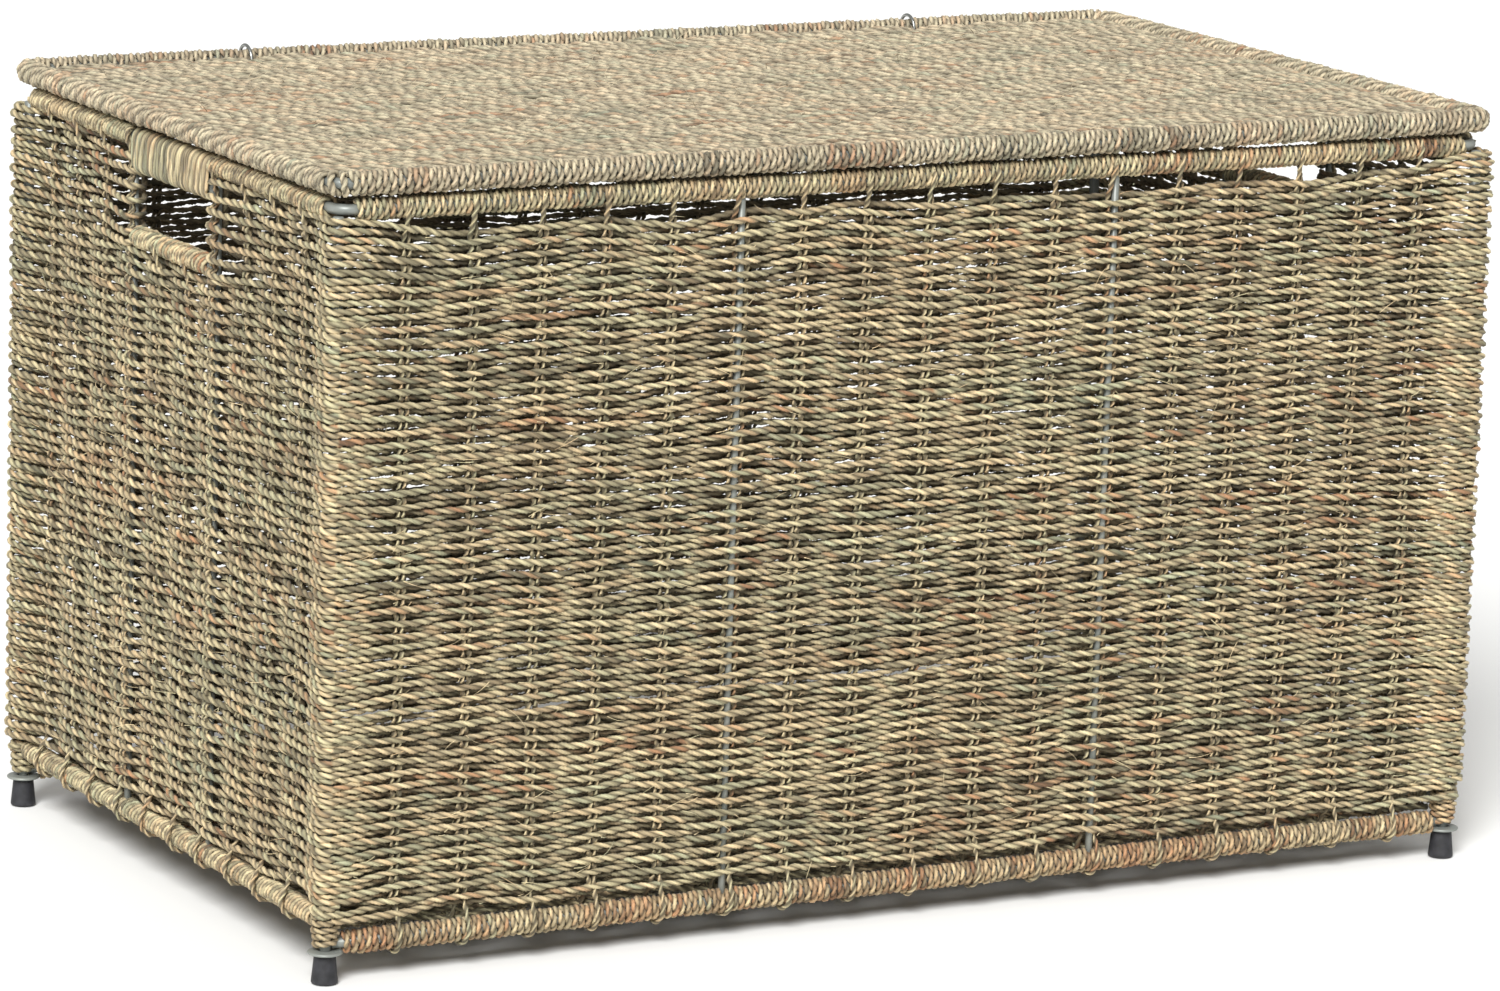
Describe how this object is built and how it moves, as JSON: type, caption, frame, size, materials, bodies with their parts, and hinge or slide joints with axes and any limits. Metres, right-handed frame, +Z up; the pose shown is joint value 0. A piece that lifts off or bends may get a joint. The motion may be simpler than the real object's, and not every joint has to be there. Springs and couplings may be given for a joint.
{
  "type": "wicker storage trunk",
  "caption": "Rectangular storage trunk woven from seagrass cord on a steel rod frame, with a hinged woven lid, whipped rims, a hand hole in each end and small rubber feet.",
  "frame": {"origin": "on the floor, under the middle of the trunk", "axes": "+X along the long side towards the right end, -Y out of the front, +Z up"},
  "size_m": [0.731, 0.4345, 0.4395],
  "materials": {
    "painted_steel": "grey-green painted steel rod, satin",
    "hinge_steel": "bare galvanised wire",
    "black_rubber": "moulded rubber, matt",
    "wall_seagrass": "two-ply twisted seagrass cord, plain weave, dry and fibrous",
    "whipping_seagrass": "twisted seagrass cord wound close round the rods",
    "lid_seagrass": "dense seagrass weave, lighter and more beige"
  },
  "bodies": {
    "body": {"corner_post_front_left": "painted_steel", "corner_post_front_right": "painted_steel", "corner_post_back_left": "painted_steel", "corner_post_back_right": "painted_steel", "foot_flange_front_left": "painted_steel", "foot_flange_front_right": "painted_steel", "foot_flange_back_left": "painted_steel", "foot_flange_back_right": "painted_steel", "top_ring_rod": "painted_steel", "bottom_rod_front": "painted_steel", "bottom_rod_back": "painted_steel", "bottom_rod_left": "painted_steel", "bottom_rod_right": "painted_steel", "base_cross_rod_left": "painted_steel", "base_cross_rod_right": "painted_steel", "front_upright_left": "painted_steel", "front_upright_right": "painted_steel", "back_upright_left": "painted_steel", "back_upright_right": "painted_steel", "left_end_upright_front": "painted_steel", "left_end_upright_back": "painted_steel", "right_end_upright_front": "painted_steel", "right_end_upright_back": "painted_steel", "grip_rod_left": "painted_steel", "grip_rod_right": "painted_steel", "sill_rod_left": "painted_steel", "sill_rod_right": "painted_steel", "foot_cap_front_left": "black_rubber", "foot_cap_front_right": "black_rubber", "foot_cap_back_left": "black_rubber", "foot_cap_back_right": "black_rubber", "front_weave": "wall_seagrass", "back_weave": "wall_seagrass", "left_weave": "wall_seagrass", "right_weave": "wall_seagrass", "base_weave": "wall_seagrass", "top_wrap_front": "whipping_seagrass", "top_wrap_back": "whipping_seagrass", "bottom_wrap_front": "whipping_seagrass", "bottom_wrap_back": "whipping_seagrass", "bottom_wrap_left": "whipping_seagrass", "bottom_wrap_right": "whipping_seagrass", "top_wrap_left_front": "whipping_seagrass", "top_wrap_left_back": "whipping_seagrass", "top_wrap_right_front": "whipping_seagrass", "top_wrap_right_back": "whipping_seagrass", "grip_wrap_left": "whipping_seagrass", "grip_wrap_right": "whipping_seagrass", "sill_wrap_left": "whipping_seagrass", "sill_wrap_right": "whipping_seagrass", "hinge_loop_left": "hinge_steel", "hinge_loop_right": "hinge_steel"},
    "lid": {"lid_frame_rod": "painted_steel", "lid_cross_rod_left": "painted_steel", "lid_cross_rod_right": "painted_steel", "lid_weave": "lid_seagrass", "lid_wrap_front": "whipping_seagrass", "lid_wrap_back": "whipping_seagrass", "lid_wrap_left": "whipping_seagrass", "lid_wrap_right": "whipping_seagrass"}
  },
  "joints": [
    {"name": "lid_hinge", "type": "hinge", "parent": "body", "child": "lid", "pos_m": [0, 0.209, 0.43], "axis": [-1, 0, 0], "range_deg": [0, 205]}
  ]
}
